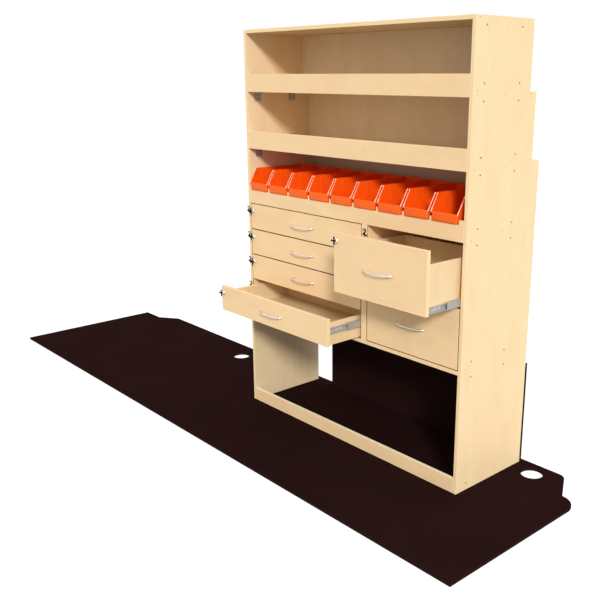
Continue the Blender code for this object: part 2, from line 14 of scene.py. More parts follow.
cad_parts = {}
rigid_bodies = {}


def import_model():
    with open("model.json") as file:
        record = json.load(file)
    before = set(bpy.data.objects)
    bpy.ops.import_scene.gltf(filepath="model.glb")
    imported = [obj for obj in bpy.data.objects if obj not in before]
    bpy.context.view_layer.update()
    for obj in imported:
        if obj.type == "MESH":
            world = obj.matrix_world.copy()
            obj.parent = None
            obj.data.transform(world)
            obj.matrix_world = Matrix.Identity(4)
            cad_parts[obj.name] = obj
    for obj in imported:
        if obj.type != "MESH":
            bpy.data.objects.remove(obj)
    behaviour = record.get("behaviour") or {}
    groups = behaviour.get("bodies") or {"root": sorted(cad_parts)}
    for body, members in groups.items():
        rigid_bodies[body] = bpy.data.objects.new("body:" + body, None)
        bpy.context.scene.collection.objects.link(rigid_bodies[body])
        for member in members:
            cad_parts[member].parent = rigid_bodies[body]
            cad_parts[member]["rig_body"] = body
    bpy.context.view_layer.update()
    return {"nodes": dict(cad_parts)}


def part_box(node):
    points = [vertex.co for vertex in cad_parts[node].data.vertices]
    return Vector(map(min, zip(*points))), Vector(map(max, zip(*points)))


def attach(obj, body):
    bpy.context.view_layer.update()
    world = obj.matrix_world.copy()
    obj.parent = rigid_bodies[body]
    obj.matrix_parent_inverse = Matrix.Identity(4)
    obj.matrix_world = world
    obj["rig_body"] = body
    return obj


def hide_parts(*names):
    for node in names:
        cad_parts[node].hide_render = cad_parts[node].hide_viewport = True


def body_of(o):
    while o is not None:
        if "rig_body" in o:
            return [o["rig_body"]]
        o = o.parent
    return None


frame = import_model()

bl_info = {
    "name": "Van racking dresser",
    "version": (1, 0, 0),
    "blender": (4, 5, 0),
    "location": "3D View > Sidebar > Racking",
    "description": "Dresses a ply van racking unit with its finishes and small pieces",
    "category": "Object",
}

LEFT_DRAWERS = ("left_1", "left_2", "left_3", "left_4")
RIGHT_DRAWERS = ("right_1", "right_2")
DRAWERS = LEFT_DRAWERS + RIGHT_DRAWERS
BINS = sorted(name for name in frame["nodes"] if name.startswith("bin_") and name[4:].isdigit())
BACK_PANELS = ("back_panel_upper", "back_panel_middle", "back_panel_lower")
SIDES = ((-1, "left"), (1, "right"))
BOARD = 0.012  # thickness of a board
BETWEEN = 0.488  # from the rack's middle to the inner face of a side panel
SIDE_FACE = 0.5  # from the rack's middle to the outer face of a side panel
DIVIDER = 0.101  # middle of the divider
LEFT_TRAY = 0.2755  # half the width of the left trays' wood
RIGHT_TRAY = 0.1745  # and of the right trays'
FLOOR_TOP = 0.0091  # just above the floor lining
PLY = 0.00135  # thickness of one veneer
FILM_MESH = 0.0042  # pitch of the mesh pressed into the film
HAIR = 0.0002  # keeps two surfaces, or two finishes, from meeting exactly
MERGE = 0.00001  # vertices closer than this are one
SHARP = math.radians(38.0)  # edges that turn more than this are not shaded smooth
STEEP = 0.6  # a surface faces an axis where its normal has more than this along it

# Tints of the veneer for groups of boards
SIDE_TONE = (1.01, 0.98, 0.98)
INNER_TONE = (0.94, 0.92, 0.96)
FRONT_TONE = (1.02, 0.94, 0.895)
TRAY_TONE = (0.92, 0.90, 0.91)
BACK_TONE = (0.87, 0.93, 1.08)

# The field of the drawer fronts, and how deep a painted shade darkens the linings of its gaps
GAPS = {"X": (-0.4885, 0.4885), "Z": (0.3946, 0.7706)}
UPRIGHT_GAP = 0.0042
LEVEL_GAP = 0.0115

# Turns that lay the veneer's grain, drawn along Z, along an axis
GRAIN_TURN = {"X": (0.0, math.pi / 2, 0.0), "Z": (0.0, 0.0, 0.0)}

# Colour, its share, roughness from and to, scale of the marks and metallic of each plating
PLATINGS = {
    "zinc_sheet": ("zinc", 1.0, (0.34, 0.48), 38.0, 0.15),
    # The slide channels' zinc is set darker, a painted shade where their webs catch the key light
    "slide_steel_painted_shade": ("zinc", 0.80, (0.34, 0.48), 38.0, 0.15),
    "zinc_heads": ("zinc", 0.7, (0.3, 0.4), 300.0, 1.0),
    "bright_heads": ("chrome", 1.0, (0.35, 0.45), 300.0, 0.3),
    "satin_chrome": ("chrome", 1.0, (0.16, 0.24), 60.0, 1.0),
    "dark_bolt": ("bolt", 1.0, (0.38, 0.52), 300.0, 1.0),
    "yellow_screw": ("brass", 1.0, (0.35, 0.50), 300.0, 1.0),
}

# Depth and height above the floor lining of the bolts and screws in a side panel
BOLTS = [(0.0455, 0.0232), (0.0455, 1.327), (0.200, 1.327)] + [
    (y, level + gap) for level in (0.386, 0.772, 0.965, 1.158)
    for y in (0.0455, 0.200) for gap in (-0.0232, 0.0232)]
SCREWS = ((0.018, 1.3445), (0.124, 1.3445), (0.226, 1.3445), (0.0187, 1.1516), (0.141, 1.1516),
          (0.2586, 1.1516), (0.018, 1.1618), (0.0203, 0.9586), (0.158, 0.9586), (0.0195, 0.9698),
          (0.158, 0.7765), (0.2955, 0.7765), (0.020, 0.765), (0.0186, 0.3789), (0.0178, 0.3923))

# Radius and height of the turned parts of a latch and of a keep's bosses
LATCH_HUB = ((0.0, 0.0122), (0.0015, 0.0124), (0.0024, 0.0129), (0.0034, 0.0127),
             (0.0040, 0.0120), (0.0040, 0.0096), (0.0030, 0.0084), (0.0028, 0.0060), (0.0, 0.0060))
LATCH_SHAFT = ((0.0, 0.0040), (0.0030, 0.0040), (0.0030, -0.0115), (0.0, -0.0115))
KEEP_BOSS = ((0.0, 0.0078), (0.0012, 0.0078), (0.0016, 0.0082), (0.0023, 0.0079),
             (0.0026, 0.0070), (0.0026, 0.0003), (0.0, 0.0003))
# The latch's domed boss, its radii as shares of the boss's own
LATCH_DOME = ((0.0, 0.0076), (0.30, 0.0075), (0.52, 0.0069), (0.70, 0.0058), (0.84, 0.0044),
              (0.93, 0.0030), (0.97, 0.0017), (1.0, 0.0016), (1.0, 0.0003), (0.0, 0.0003))

X = Vector((1, 0, 0))
Y = Vector((0, 1, 0))
Z = Vector((0, 0, 1))


def maker(kind, **fixed):
    """Makes properties of one kind from a name, a description and a default."""
    def made(name, description, default, **more):
        return kind(name=name, description=description, default=default, **fixed, **more)
    return made


number = maker(bpy.props.FloatProperty)
shift = maker(bpy.props.FloatProperty, min=-1.0, max=1.0, subtype="FACTOR")
length = maker(bpy.props.FloatProperty, min=0.0, precision=5, unit="LENGTH")
factor = maker(bpy.props.FloatProperty, min=0.0, subtype="FACTOR")
angle = maker(bpy.props.FloatProperty, subtype="ANGLE", unit="ROTATION")
triple = maker(bpy.props.FloatVectorProperty, size=3)
colour = maker(bpy.props.FloatVectorProperty, size=3, min=0.0, max=1.0, subtype="COLOR")


class RackingSizes(bpy.types.PropertyGroup):
    """Sizes of the pieces that are modelled on the boards."""

    arris: length("Board arris", "Rounding of the boards' long edges", 0.0012)
    lip_arris: length("Lip arris", "Rounding of the edges of the lips and the plinth", 0.0030)
    front_trim: length("Front trim", "Taken off a drawer front all round", 0.0004)
    handle_half: length("Handle half", "From a handle's middle to each end", 0.0560)
    handle_aside: length("Handle aside", "How far right of a front's middle it sits", 0.0030)
    handle_reach: length("Handle reach", "How far a handle's bow stands out", 0.0175)
    handle_bar: length("Handle bar", "Half the bow's thickness at its middle", 0.0023)
    handle_foot: length("Handle foot", "Half the height of the flat end", 0.0032)
    latch_in: length("Latch from the side", "From a front's left edge to its latch", 0.0125)
    latch_down: length("Latch from the top", "From a front's top edge to its latch", 0.0245)
    latch_boss: length("Latch boss", "Radius of the domed chrome boss", 0.0086)
    latch_arm: length("Latch arm", "From the latch's axis to the middle of a lobe", 0.0098)
    keep_wire: length("Keep wire", "Radius of the bent wire of a keep", 0.0016)
    bin_back: length("Bin back", "Depth behind the rack's face of a bin's back wall", 0.235)
    bin_wall: length("Bin wall", "Wall thickness of the picking bins", 0.0020)
    bin_lip: length("Bin lip", "Height of a bin's low front", 0.027)
    bin_slope: length("Bin slope", "Depth over which a bin's side rises", 0.028)
    bin_taper: length("Bin taper", "How far a side wall leans in at the bottom", 0.003)
    bin_corner: length("Bin corner", "Radius of a bin's corners", 0.005)
    bin_rim: length("Bin rim", "How far the rolled rim stands out from the wall", 0.0018)
    bin_flange: length("Bin flange", "How far the top flange stands out", 0.0033)
    bin_panel: length("Bin panel", "How far the raised wall panel stands inwards", 0.0012)
    bin_panel_front: length("Bin panel front", "Depth at which the panel begins", 0.047)
    bracket_leg: length("Bracket leg", "Length of each leg of an angle bracket", 0.032)
    bracket_width: length("Bracket width", "Width of an angle bracket", 0.030)
    bracket_steel: length("Bracket steel", "Thickness of an angle bracket", 0.002)
    bolt_head: length("Bolt head", "Radius of the bolt heads on the side panels", 0.0026)
    screw_head: length("Screw head", "Radius of the shelf screws", 0.0021)


class RackingColours(bpy.types.PropertyGroup):
    """Colours of the finishes."""

    ply_face: colour("Ply face", "Lacquered birch veneer", (0.92, 0.715, 0.42))
    ply_grain: colour("Ply grain", "Darker figure of the veneer", (0.84, 0.62, 0.345))
    ply_edge: colour("Ply edge", "Pale veneers at a board's edge", (0.967, 0.735, 0.42))
    ply_line: colour("Ply line", "Cross veneers at a board's edge", (0.77, 0.52, 0.26))
    # Painted shade: dark brown laid on the edges that line the gaps round the closed drawer fronts
    ply_shade: colour("Ply in the gaps", "Edges round the drawer fronts", (0.40, 0.20, 0.055))
    # Painted highlight: a paler tint on the upward edges of the lips and plinth, for light from
    # above
    ply_worn: colour("Worn ply edge", "Upper edges of lips and plinth", (1.0, 0.94, 0.60))
    # Painted shade: darkens the insides of the trays and the top panel's underside
    ply_inside: colour("Ply in the shade", "Tints trays and the top's underside",
                       (0.17, 0.16, 0.10))
    film: colour("Floor film", "Dark film on the floor lining", (0.0178, 0.0069, 0.0064))
    film_edge: colour("Floor edge", "Sealed edge of the floor lining", (0.024, 0.011, 0.010))
    orange: colour("Bin orange", "Moulded plastic of the bins", (0.97, 0.100, 0.004))
    # Painted light: a lighter orange on the bins' faces in front of the rack, where the key light
    # falls
    orange_painted_front_light: colour("Bin front", "Handled front of a bin", (0.98, 0.140, 0.010))
    # Painted highlight: a pale tint on the bins' rolled edges that slope forward
    orange_painted_highlight: colour("Bin edge", "Pale rolled edge of a bin's slope", (0.98, 0.78, 0.64))
    zinc: colour("Zinc", "Plated steel of slides and brackets", (0.50, 0.475, 0.455))
    chrome: colour("Chrome", "Bright plating", (0.86, 0.84, 0.82))
    black: colour("Black plastic", "Thumb-turns and keeps", (0.008, 0.008, 0.009))
    bolt: colour("Bolt", "Dark plated bolt heads", (0.10, 0.065, 0.035))
    brass: colour("Screw", "Yellow passivated screws", (0.62, 0.44, 0.20))


class RackingStage(bpy.types.PropertyGroup):
    """Camera and light of the studio."""

    camera_place: triple("Camera place", "Where the camera stands", (1.847, -1.695, 1.211),
                         subtype="TRANSLATION", unit="LENGTH")
    camera_turn: angle("Camera turn", "Turn to the left from straight at the front", 0.8335)
    camera_tilt: angle("Camera tilt", "Tilt below the horizon", 0.2708)
    camera_lens: number("Lens", "Focal length on a 36 mm sensor", 48.04, unit="CAMERA")
    shift_right: shift("Shift right", "Shift of the frame, in frame widths", -0.0635)
    shift_up: shift("Shift up", "Shift of the frame, in frame widths", -0.0041)
    key_towards: triple("Towards the key", "From the rack to the key light",
                        (0.70, -0.53, 0.45), subtype="XYZ")
    key_strength: factor("Key strength", "Strength of the key light", 2.45, max=20.0)
    key_angle: angle("Key softness", "Angle that the key light spans", 0.17)
    sky_strength: factor("Sky strength", "Light from all round, at the horizon", 0.46, max=5.0)
    sky_lean: triple("Sky lean", "How much the sky brightens to the right, front and top",
                     (0.24, -0.14, 0.48), subtype="XYZ")
    floor_glow: factor("Floor glow", "How much the camera sees the floor lit by itself", 0.78,
                       max=1.0)
    floor_colour: colour("Floor", "Pale studio floor", (0.35, 0.35, 0.35))


def sizes():
    """The sizes of this scene."""
    return bpy.context.scene.racking_sizes


def colours():
    """The colours of this scene."""
    return bpy.context.scene.racking_colours


class Wiring:
    """Adds nodes to a tree and links their inputs as they are made."""

    def __init__(self, tree):
        self.tree = tree

    def fill(self, node, inputs):
        """Link or set a node's inputs; returns its outputs."""
        for key, value in inputs.items():
            if isinstance(value, bpy.types.NodeSocket):
                self.tree.links.new(value, node.inputs[key])
            else:
                node.inputs[key].default_value = value
        return node.outputs

    def add(self, kind, inputs=(), **settings):
        """The outputs of a new node with its settings and its inputs."""
        node = self.tree.nodes.new(kind)
        for key, value in settings.items():
            setattr(node, key, value)
        return self.fill(node, dict(inputs))

    def group(self, wire, **inputs):
        """The outputs of a shader group, which its wiring function builds on first use."""
        tree = bpy.data.node_groups.get(wire.__name__)
        if tree is None:
            tree = bpy.data.node_groups.new(wire.__name__, "ShaderNodeTree")
            for label in inputs:
                kind = "NodeSocketVector" if label == "Vector" else "NodeSocketFloat"
                tree.interface.new_socket(label, in_out="INPUT", socket_type=kind)
            inner = Wiring(tree)
            inlet = tree.nodes.new("NodeGroupInput").outputs
            made = wire(inner, *[inlet[label] for label in inputs])
            for label in made:
                tree.interface.new_socket(label, in_out="OUTPUT", socket_type="NodeSocketFloat")
            inner.fill(tree.nodes.new("NodeGroupOutput"), made)
        return self.add("ShaderNodeGroup", inputs, node_tree=tree)

    def math(self, operation, *values):
        """The result of a Math node."""
        return self.add("ShaderNodeMath", enumerate(values), operation=operation)[0]

    def times(self, first, second):
        """A product."""
        return self.math("MULTIPLY", first, second)

    def plus(self, first, second):
        """A sum."""
        return self.math("ADD", first, second)

    def over(self, value, limit):
        """1 where a value is above a limit, 0 elsewhere."""
        return self.math("GREATER_THAN", value, limit)

    def under(self, value, limit):
        """1 where a value is below a limit, 0 elsewhere."""
        return self.math("LESS_THAN", value, limit)

    def away(self, value, centre=0.0):
        """How far a value is from a centre."""
        return self.math("ABSOLUTE", self.math("SUBTRACT", value, centre))

    def vector(self, operation, first, second, result="Vector"):
        """A result of a Vector Math node."""
        return self.add("ShaderNodeVectorMath", {0: first, 1: second}, operation=operation)[result]

    def parts(self, vector):
        """The three parts of a vector, read by axis."""
        return self.add("ShaderNodeSeparateXYZ", {0: vector})

    def mix(self, factor, first, second):
        """A mix of two colours, each a socket or three numbers."""
        first, second = (tint if isinstance(tint, bpy.types.NodeSocket) else rgba(tint)
                         for tint in (first, second))
        return self.add("ShaderNodeMix", {0: factor, 6: first, 7: second}, data_type="RGBA")[2]

    def blend(self, factor, first, second):
        """A mix of two numbers."""
        return self.add("ShaderNodeMix", {0: factor, 2: first, 3: second})[0]

    def noise(self, vector, scale, detail=2.0, roughness=0.5, distortion=0.0):
        """A noise value between 0 and 1."""
        return self.add("ShaderNodeTexNoise",
                        {"Vector": vector, "Scale": scale, "Detail": detail,
                         "Roughness": roughness, "Distortion": distortion})[0]

    def remap(self, value, low, high, to_low=0.0, to_high=1.0):
        """A value stretched from one range to another, with its ends held."""
        return self.add("ShaderNodeMapRange", enumerate((value, low, high, to_low, to_high)))[0]

    def bump(self, height, strength, distance):
        """The normal of a small relief."""
        return self.add("ShaderNodeBump", {"Height": height, "Strength": strength,
                                           "Distance": distance})[0]

    def seen(self):
        """1 for what the camera, metal and glass see, 0 for what only lights the rack."""
        path = self.add("ShaderNodeLightPath")
        both = self.math("MAXIMUM", path["Is Camera Ray"], path["Is Glossy Ray"])
        return self.math("MAXIMUM", both, path["Is Transmission Ray"])


def rgba(value):
    """A colour with its alpha."""
    return (*value, 1.0)


def scaled(value, by):
    """A colour with its parts scaled, all by one number or each by its own."""
    return [part * scale for part, scale in zip(value, by if isinstance(by, tuple) else (by,) * 3)]


def birch_veneer(make, vector, seed):
    """Figure, fibres and flecks of rotary-cut birch whose grain runs along Z."""
    placed = make.vector("ADD", vector, make.add("ShaderNodeCombineXYZ", enumerate([seed] * 3))[0])

    def drawn_out(rise, *noise):
        """A noise stretched along the grain."""
        return make.noise(make.vector("MULTIPLY", placed, (1.0, 1.0, rise)), *noise)

    rings = make.math("SINE", make.times(drawn_out(0.28, 5.0, 3.0, 0.55, 0.9), 20.0))
    rings = make.math("MULTIPLY_ADD", rings, 0.5, 0.5)
    mottle = drawn_out(0.6, 20.0, 2.0)
    knots = make.remap(drawn_out(0.5, 42.0, 1.0), 0.68, 0.78)
    figure = make.plus(make.times(rings, 0.22), make.times(mottle, 0.62))
    fibre = drawn_out(0.035, 900.0, 3.0, 0.6)
    fleck = make.remap(drawn_out(0.09, 900.0, 1.0), 0.64, 0.74)
    return {"Figure": make.plus(figure, make.times(knots, 0.22)), "Fibre": fibre, "Fleck": fleck,
            "Height": make.math("SUBTRACT", fibre, make.times(fleck, 0.6))}


def ply_laminations(make, vector, across):
    """Crossed veneers at a board's edge, counted across its thickness."""
    wobble = make.times(make.noise(vector, 90.0, 1.0), 0.25)
    plies = make.plus(make.math("DIVIDE", across, PLY), wobble)
    cross = make.over(make.math("FRACT", make.times(plies, 0.5)), 0.5)
    speckle = make.remap(make.noise(vector, 1400.0, 2.0), 0.35, 0.6, 0.6, 1.0)
    glue = make.remap(make.away(make.math("FRACT", plies), 0.5), 0.40, 0.48)
    return {"Cross": make.times(cross, speckle), "Glue": glue}


def handling_marks(make, vector, scale):
    """Soft smudges and hair scratches that vary a smooth finish."""
    along = make.vector("MULTIPLY", vector, (1.0, 0.15, 0.4))
    hair = make.noise(along, make.times(scale, 22.0), 1.0, 0.5, 0.4)
    return {"Smudge": make.noise(vector, scale, 3.0, 0.6),
            "Scratch": make.remap(make.away(hair, 0.5), 0.0, 0.02, 1.0, 0.0)}


def finish(name, coat, **values):
    """The material of a name; on its first use a coat function wires its shader."""
    material = bpy.data.materials.get(name)
    if material is None:
        material = bpy.data.materials.new(name)
        material.use_nodes = True
        make = Wiring(material.node_tree)
        place = make.add("ShaderNodeTexCoord")
        make.fill(material.node_tree.nodes["Principled BSDF"],
                  coat(make, place["Object"], place["Normal"], **values))
    return material


def ply_coat(make, position, normal, grain, thin, seed, tone, steel=None, edge_before=None,
             rim=None, reveal=None, worn_top=False, under=False):
    """Lacquered birch ply; grain is the axis of its fibres, thin the axis across the board.

    steel tells a fused channel by x: a middle, a limit, and if it lies outside that limit.
    edge_before is the depth that ends the edge veneers, rim the height where a tray's begin and
    below which its inside gets painted shade. The gap depth paints shade on the gaps' linings
    round the closed fronts; upward edges may get a painted highlight; under paints shade below.
    """
    tint = colours()
    at = make.parts(position)
    facing = make.parts(normal)

    def laid(axis):
        """Coordinates with the grain along an axis."""
        return make.add("ShaderNodeMapping",
                        {"Vector": position, "Rotation": GRAIN_TURN[axis]})[0]

    along = laid(grain)
    if rim:
        level = make.over(make.away(facing["Z"]), STEEP)
        along = make.add("ShaderNodeMix", {0: level, 4: along, 5: laid("X")},
                         data_type="VECTOR")[1]
    wood = make.group(birch_veneer, Vector=along, Seed=seed)
    figure = scaled(tint.ply_grain, tone)
    darker = scaled(figure, 0.80)
    face = make.mix(make.remap(wood["Figure"], 0.22, 0.66, 0.0, 0.62),
                    scaled(tint.ply_face, tone), figure)
    face = make.mix(make.remap(wood["Fibre"], 0.35, 0.80, 0.0, 0.20), face, darker)
    face = make.mix(make.times(wood["Fleck"], 0.22), face, darker)
    plies = make.group(ply_laminations, Vector=position, Across=at[thin])
    edge = make.mix(make.times(plies["Cross"], 0.55), tint.ply_edge, tint.ply_line)
    edge = make.mix(make.times(plies["Glue"], 0.35), edge, darker)
    # Painted highlight: upward edges paler, for the light from above
    if worn_top:
        edge = make.mix(make.times(make.over(facing["Z"], 0.35), 0.85), edge, tint.ply_worn)
    mask = make.under(make.away(facing[thin]), STEEP)
    if edge_before:
        mask = make.times(mask, make.under(at["Y"], edge_before))
    if rim:
        mask = make.times(make.over(facing["Z"], STEEP), make.over(at["Z"], rim))
    whole = make.mix(mask, face, edge)
    # Painted shade inside the tray, below its rim
    if rim:
        inside = make.under(make.away(at["X"], steel[0]), steel[1] - BOARD + HAIR)
        inside = make.times(inside, make.under(at["Z"], rim))
        whole = make.mix(make.times(inside, 0.12), whole, tint.ply_inside)
    # Painted shade on the underside
    if under:
        lower = make.under(facing["Z"], -STEEP)
        whole = make.mix(make.times(lower, 0.30), whole, tint.ply_inside)
    # Painted shade on what lines the gaps round the closed fronts
    if reveal:
        lining = make.under(make.away(facing["Y"]), STEEP)
        for axis, (low, high) in {**GAPS, "Y": (0.0011, reveal)}.items():
            within = make.under(make.away(at[axis], (low + high) / 2), (high - low) / 2)
            lining = make.times(lining, within)
        whole = make.mix(lining, whole, tint.ply_shade)
    rough = make.plus(make.remap(wood["Fibre"], 0.3, 0.8, 0.44, 0.60), make.times(mask, 0.12))
    look = {"Specular IOR Level": 0.35, "Normal": make.bump(wood["Height"], 0.25, 0.0003)}
    if steel:
        centre, limit, outside = steel
        metal = (make.over if outside else make.under)(make.away(at["X"], centre), limit)
        smudge = make.group(handling_marks, Vector=position, Scale=38.0)["Smudge"]
        plate = make.mix(make.remap(smudge, 0.3, 0.7), scaled(tint.zinc, 0.86), tint.zinc)
        whole = make.mix(metal, whole, plate)
        rough = make.blend(metal, rough, make.remap(smudge, 0.3, 0.7, 0.34, 0.48))
        look["Metallic"] = make.times(metal, 0.15)
    return {**look, "Base Color": whole, "Roughness": rough}


def film_coat(make, position, normal):
    """Dark film on ply, with a fine pressed mesh, scuffs and a sealed edge."""
    film = colours().film
    at = make.parts(position)
    deep = make.plus(at["Y"], at["Z"])
    rows = [make.math("SINE", make.times(make.math(way, at["X"], deep), 2 * math.pi / FILM_MESH))
            for way in ("ADD", "SUBTRACT")]
    mesh = make.math("MAXIMUM", *[make.remap(row, 0.6, 1.0) for row in rows])
    marks = make.group(handling_marks, Vector=position, Scale=5.0)
    worn = make.remap(marks["Smudge"], 0.3, 0.75)
    face = make.mix(worn, film, scaled(film, 1.30))
    face = make.mix(make.times(mesh, 0.25), face, scaled(film, 0.6))
    scuff = make.times(make.times(marks["Scratch"], worn), 0.12)
    face = make.mix(scuff, face, scaled(film, 3.0))
    side = make.times(make.under(make.away(make.parts(normal)["Z"]), STEEP),
                      make.under(at["Z"], FLOOR_TOP))
    return {"Base Color": make.mix(side, face, colours().film_edge), "Specular IOR Level": 0.0,
            "Roughness": make.remap(worn, 0.0, 1.0, 0.72, 0.60),
            "Normal": make.bump(mesh, 0.25, 0.0002)}


def plastic_coat(make, position, normal, tint, pale=None, front=None, rough=(0.30, 0.42),
                 gloss=0.22):
    """Moulded plastic with a fine spark-eroded grain.

    pale paints a highlight on the faces that slope forward, front paints light on what stands
    before the rack's face.
    """
    smudge = make.group(handling_marks, Vector=position, Scale=26.0)["Smudge"]
    face = make.mix(make.remap(smudge, 0.3, 0.7), tint, scaled(tint, 0.90))
    # Painted light: what stands before the rack's face is lighter
    if front is not None:
        face = make.mix(make.remap(make.parts(position)["Y"], 0.0, -0.003), face, front)
    # Painted highlight on the faces that slope forward
    if pale is not None:
        slope = make.vector("DOT_PRODUCT", normal, (0.0, -0.868, 0.496), "Value")
        face = make.mix(make.remap(slope, 0.80, 0.95), face, pale)
    return {"Base Color": face, "Specular IOR Level": gloss,
            "Roughness": make.remap(smudge, 0.3, 0.7, *rough),
            "Normal": make.bump(make.noise(position, 2600.0, 1.0), 0.06, 0.0002)}


def metal_coat(make, position, normal, tint, rough, scale, metallic):
    """Plated metal with faint smudges and hair scratches; dull plating is partly metallic."""
    marks = make.group(handling_marks, Vector=position, Scale=scale)
    worn = make.remap(marks["Smudge"], 0.3, 0.7, *rough)
    return {"Base Color": make.mix(make.remap(marks["Smudge"], 0.25, 0.75), scaled(tint, 0.88),
                                   tint),
            "Metallic": metallic,
            "Roughness": make.plus(worn, make.times(marks["Scratch"], 0.10)),
            "Normal": make.bump(marks["Scratch"], 0.04, 0.0001)}


def floor_coat(*_):
    """Matt studio floor."""
    return {"Base Color": rgba(bpy.context.scene.racking_stage.floor_colour), "Roughness": 0.9,
            "Specular IOR Level": 0.0}


def plated(name):
    """One of the platings."""
    label, share_of, rough, scale, metallic = PLATINGS[name]
    return finish(name, metal_coat, tint=scaled(getattr(colours(), label), share_of),
                  rough=rough, scale=scale, metallic=metallic)


def black_nylon():
    """Black nylon of the thumb-turns and keeps."""
    return finish("black_nylon", plastic_coat, tint=colours().black, rough=(0.40, 0.52),
                  gloss=0.03)


def mesh_of(name, bm):
    """The mesh of a finished bmesh."""
    mesh = bpy.data.meshes.new(name)
    bm.to_mesh(mesh)
    bm.free()
    return mesh


def placed(name, data):
    """A new object in the scene."""
    item = bpy.data.objects.new(name, data)
    bpy.context.scene.collection.objects.link(item)
    return item


def box(bm, first, second):
    """A block between two opposite corners; returns its vertices."""
    low, high = (Vector([pick(pair) for pair in zip(first, second)]) for pick in (min, max))
    made = bmesh.ops.create_cube(bm, size=1.0)["verts"]
    bmesh.ops.scale(bm, vec=high - low, verts=made)
    bmesh.ops.translate(bm, vec=(low + high) / 2, verts=made)
    return made


def verts_in(result):
    """The vertices among an operator's results."""
    return [item for item in result["geom"] if isinstance(item, bmesh.types.BMVert)]


def edges_of(verts):
    """The edges between the given vertices."""
    chosen = set(verts)
    return [edge for edge in {edge for vert in verts for edge in vert.link_edges}
            if chosen.issuperset(edge.verts)]


def faces_of(verts):
    """The faces that touch the given vertices."""
    return list({face for vert in verts for face in vert.link_faces})


def round_edges(bm, edges, width, segments=2):
    """Round some edges of a bmesh."""
    bmesh.ops.bevel(bm, geom=edges, offset=width, offset_type="OFFSET", segments=segments,
                    profile=0.5, affect="EDGES", material=-1, clamp_overlap=True)


def stamp(bm, mesh, place, normal=Z, turn=0.0, slot=0):
    """Add a copy of a mesh that was made looking along Z, aimed along a normal and turned."""
    shape = mesh.copy()
    look = normal.to_track_quat("Z", "Y").to_matrix().to_4x4()
    shape.transform(Matrix.Translation(place) @ look @ Matrix.Rotation(turn, 4, "Z"))
    for face in shape.polygons:
        face.material_index = slot
    bm.from_mesh(shape)
    bpy.data.meshes.remove(shape)


def turned(bm, profile, centre, steps):
    """Add a lathe-turned shape; profile lists radius and height in front of its centre."""
    lathe = bmesh.new()
    verts = [lathe.verts.new(X * radius + Z * height) for radius, height in profile]
    edges = [lathe.edges.new(pair) for pair in zip(verts, verts[1:])]
    bmesh.ops.spin(lathe, geom=verts + edges, axis=Z, angle=2 * math.pi, steps=steps,
                   use_merge=True)
    bmesh.ops.remove_doubles(lathe, verts=lathe.verts, dist=MERGE)
    bmesh.ops.recalc_face_normals(lathe, faces=lathe.faces)
    shape = mesh_of("turned", lathe)
    stamp(bm, shape, centre, -Y)
    bpy.data.meshes.remove(shape)


def swept(bm, path, up, halves, sides):
    """A bar swept along a flat path, closed at both ends; up is the normal of the path's plane.

    halves lists half the bar's width in the plane and half its height for each point of the path.
    """
    verts = bmesh.ops.create_circle(bm, cap_ends=True, segments=sides, radius=1.0)["verts"]
    edges = edges_of(verts)
    made = list(verts)
    last = len(path) - 1
    before = Matrix.Identity(4)
    for index, (place, (wide, tall)) in enumerate(zip(path, halves)):
        along = (path[min(index + 1, last)] - path[max(index - 1, 0)]).normalized()
        here = Matrix((up.cross(along) * wide, up * tall, along)).transposed().to_4x4()
        here = Matrix.Translation(place) @ here
        if index:
            verts = verts_in(bmesh.ops.extrude_edge_only(bm, edges=edges))
            edges = edges_of(verts)
            made += verts
        bmesh.ops.transform(bm, matrix=here @ before.inverted(), verts=verts)
        before = here
    bmesh.ops.contextual_create(bm, geom=edges)
    bmesh.ops.recalc_face_normals(bm, faces=faces_of(made))


def piece(name, bm, finishes, body, flat=False, replaces=()):
    """Make a finished bmesh an object that rides on a body."""
    mesh = mesh_of(name, bm)
    for material in finishes:
        mesh.materials.append(material)
    item = placed(name, mesh)
    if not flat:
        mesh.shade_smooth()
        mesh.set_sharp_from_angle(angle=SHARP)
    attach(item, body)
    if replaces:
        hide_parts(*replaces)
    return item


def board(node, grain, thin, seed, tone=FRONT_TONE, across=None, planes=None, shortest=0.020,
          trim=0.0, arris=None, **look):
    """A veneered copy of a board with its long edges slightly rounded, in place of the board.

    planes are where the rounded edges lie on the axis across, which is thin unless given; trim
    comes off an upright board all round, and look is the rest of what ply_coat is told.
    """
    item = frame["nodes"][node]
    low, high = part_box(node)
    axis = "XYZ".index(across or thin)
    planes = planes or (low[axis], high[axis])
    bm = bmesh.new()
    bm.from_mesh(item.data)
    bmesh.ops.remove_doubles(bm, verts=bm.verts, dist=MERGE)
    bmesh.ops.dissolve_limit(bm, angle_limit=math.radians(1.0), verts=bm.verts,
                             edges=bm.edges)
    chosen = [edge for edge in bm.edges
              if edge.is_manifold and edge.is_convex and edge.calc_length() > shortest
              and edge.calc_face_angle() > math.radians(60.0)
              and any(all(abs(vert.co[axis] - plane) < 0.0001 for vert in edge.verts)
                      for plane in planes)]
    round_edges(bm, chosen, arris or sizes().arris, 3)
    if trim:
        size = high - low
        bmesh.ops.scale(bm, vec=(1 - 2 * trim / size.x, 1.0, 1 - 2 * trim / size.z),
                        space=Matrix.Translation(-(low + high) / 2), verts=bm.verts)
    veneer = finish(f"ply_{node}", ply_coat, grain=grain, thin=thin, seed=seed, tone=tone, **look)
    piece(f"board_{node}", bm, [veneer], body_of(item)[0], True, (node,))


def set_finish(node, material):
    """Give a CAD node another finish."""
    item = frame["nodes"][node]
    if not item.material_slots:
        item.data.materials.append(material)
    for slot in item.material_slots:
        slot.material = material


